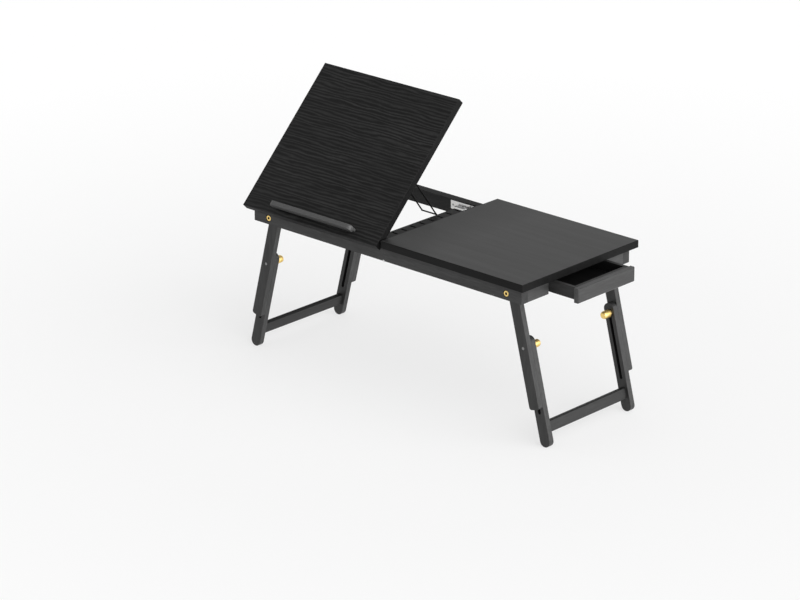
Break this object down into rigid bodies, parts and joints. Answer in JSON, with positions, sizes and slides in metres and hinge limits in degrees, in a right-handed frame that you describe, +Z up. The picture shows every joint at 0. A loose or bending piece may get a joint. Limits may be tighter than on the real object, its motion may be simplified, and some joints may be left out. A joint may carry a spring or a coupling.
{
  "type": "folding laptop bed table",
  "caption": "Folding wooden bed table with a tilting reading panel on a wire prop, a fixed top with an end drawer, and telescoping legs that fold under the halves.",
  "frame": {"origin": "on the floor under the middle of the table as pictured, panel tilted and drawer pulled out", "axes": "+X along the table to the drawer's end, +Y from the front (the book stop) to the back, +Z up"},
  "size_m": [0.8303, 0.3556, 0.5648],
  "materials": {
    "panel_wood": "black stain, satin",
    "top_wood": "black stain, satin, catching the light",
    "stop_wood": "black stain, smooth satin",
    "rail_wood": "black stain, satin",
    "leg_wood": "black stain, satin",
    "drawer_wood": "black stain, satin",
    "brass": "polished",
    "steel": "plated",
    "dark_wire": "black"
  },
  "bodies": {
    "left_half": {"left_front_rail": "rail_wood", "left_back_rail": "rail_wood", "left_end_rail": "rail_wood", "notched_board": "rail_wood", "outer_hinge_rail_leaf": "steel", "inner_hinge_rail_leaf": "steel", "left_fold_leaf_front": "steel", "left_fold_leaf_back": "steel", "latch_plate": "steel", "left_leg_pivot_bolt_front": "brass", "left_leg_pivot_bolt_back": "brass"},
    "fold_pins": {"fold_pin_front": "steel", "fold_pin_back": "steel"},
    "right_half": {"right_front_rail": "rail_wood", "right_back_rail": "rail_wood", "right_front_end_rail": "rail_wood", "right_back_end_rail": "rail_wood", "fixed_top": "top_wood", "drawer_front_runner": "drawer_wood", "drawer_back_runner": "drawer_wood", "right_fold_leaf_front": "steel", "right_fold_leaf_back": "steel", "latch_keeper": "steel", "right_leg_pivot_bolt_front": "brass", "right_leg_pivot_bolt_back": "brass"},
    "tilt_panel": {"tilt_panel": "panel_wood", "book_stop": "stop_wood", "outer_hinge_panel_leaf": "steel", "inner_hinge_panel_leaf": "steel", "left_prop_clip": "dark_wire", "right_prop_clip": "dark_wire"},
    "prop": {"wire_prop": "dark_wire"},
    "drawer": {"drawer_front": "drawer_wood", "drawer_front_side": "drawer_wood", "drawer_back_side": "drawer_wood", "drawer_floor": "drawer_wood", "drawer_inner_front": "drawer_wood", "drawer_inner_end": "drawer_wood"},
    "latch_bolt": {"latch_bolt": "steel"},
    "left_leg_upper": {"left_leg_upper_front": "leg_wood", "left_leg_upper_back": "leg_wood", "left_leg_clamp_bolt_front": "steel", "left_leg_clamp_bolt_back": "steel"},
    "left_leg_lower": {"left_leg_lower_front": "leg_wood", "left_leg_lower_back": "leg_wood", "left_leg_stretcher": "leg_wood"},
    "left_front_knob": {"left_leg_knob_front": "brass"},
    "left_back_knob": {"left_leg_knob_back": "brass"},
    "right_leg_upper": {"right_leg_upper_front": "leg_wood", "right_leg_upper_back": "leg_wood", "right_leg_clamp_bolt_front": "steel", "right_leg_clamp_bolt_back": "steel"},
    "right_leg_lower": {"right_leg_lower_front": "leg_wood", "right_leg_lower_back": "leg_wood", "right_leg_stretcher": "leg_wood"},
    "right_front_knob": {"right_leg_knob_front": "brass"},
    "right_back_knob": {"right_leg_knob_back": "brass"}
  },
  "joints": [
    {"name": "panel_tilt", "type": "hinge", "parent": "left_half", "child": "tilt_panel", "pos_m": [-0.1975, -0.1532, 0.31925], "axis": [-1, 0, 0], "range_deg": [-20.6, 45.4]},
    {"name": "prop_swing", "type": "hinge", "parent": "tilt_panel", "child": "prop", "pos_m": [-0.0755, -0.03947, 0.43743], "axis": [1, 0, 0], "range_deg": [-45.08, 98.75]},
    {"name": "first_fold", "type": "hinge", "parent": "left_half", "child": "fold_pins", "pos_m": [-0.0145, 0.0078, 0.2883], "axis": [0, 1, 0], "range_deg": [0, 100]},
    {"name": "second_fold", "type": "hinge", "parent": "fold_pins", "child": "right_half", "pos_m": [-0.0145, 0.0078, 0.2883], "axis": [0, 1, 0], "range_deg": [0, 80]},
    {"name": "drawer_slide", "type": "slide", "parent": "right_half", "child": "drawer", "axis": [-1, 0, 0], "range_m": [-0.06, 0.0643]},
    {"name": "latch_slide", "type": "slide", "parent": "left_half", "child": "latch_bolt", "axis": [-1, 0, 0], "range_m": [-0.018, 0]},
    {"name": "left_leg_fold", "type": "hinge", "parent": "left_half", "child": "left_leg_upper", "pos_m": [-0.329, 0.0078, 0.301], "axis": [0, -1, 0], "range_deg": [0, 104.4]},
    {"name": "left_leg_height", "type": "slide", "parent": "left_leg_upper", "child": "left_leg_lower", "axis": [0.2487, 0, 0.9686], "range_m": [0, 0.105]},
    {"name": "left_front_knob_turn", "type": "hinge", "parent": "left_leg_upper", "child": "left_front_knob", "pos_m": [-0.35685, -0.0992, 0.19252], "axis": [0, 1, 0], "continuous": true},
    {"name": "left_back_knob_turn", "type": "hinge", "parent": "left_leg_upper", "child": "left_back_knob", "pos_m": [-0.35685, 0.1148, 0.19252], "axis": [0, 1, 0], "continuous": true},
    {"name": "right_leg_fold", "type": "hinge", "parent": "right_half", "child": "right_leg_upper", "pos_m": [0.3, 0.0078, 0.301], "axis": [0, 1, 0], "range_deg": [0, 104.4]},
    {"name": "right_leg_height", "type": "slide", "parent": "right_leg_upper", "child": "right_leg_lower", "axis": [-0.2487, 0, 0.9686], "range_m": [0, 0.105]},
    {"name": "right_front_knob_turn", "type": "hinge", "parent": "right_leg_upper", "child": "right_front_knob", "pos_m": [0.32785, -0.0992, 0.19252], "axis": [0, 1, 0], "continuous": true},
    {"name": "right_back_knob_turn", "type": "hinge", "parent": "right_leg_upper", "child": "right_back_knob", "pos_m": [0.32785, 0.1148, 0.19252], "axis": [0, 1, 0], "continuous": true}
  ],
  "couplings": [
    {"joint": "prop_swing", "follows": "panel_tilt", "ratio": 2.1641}
  ]
}
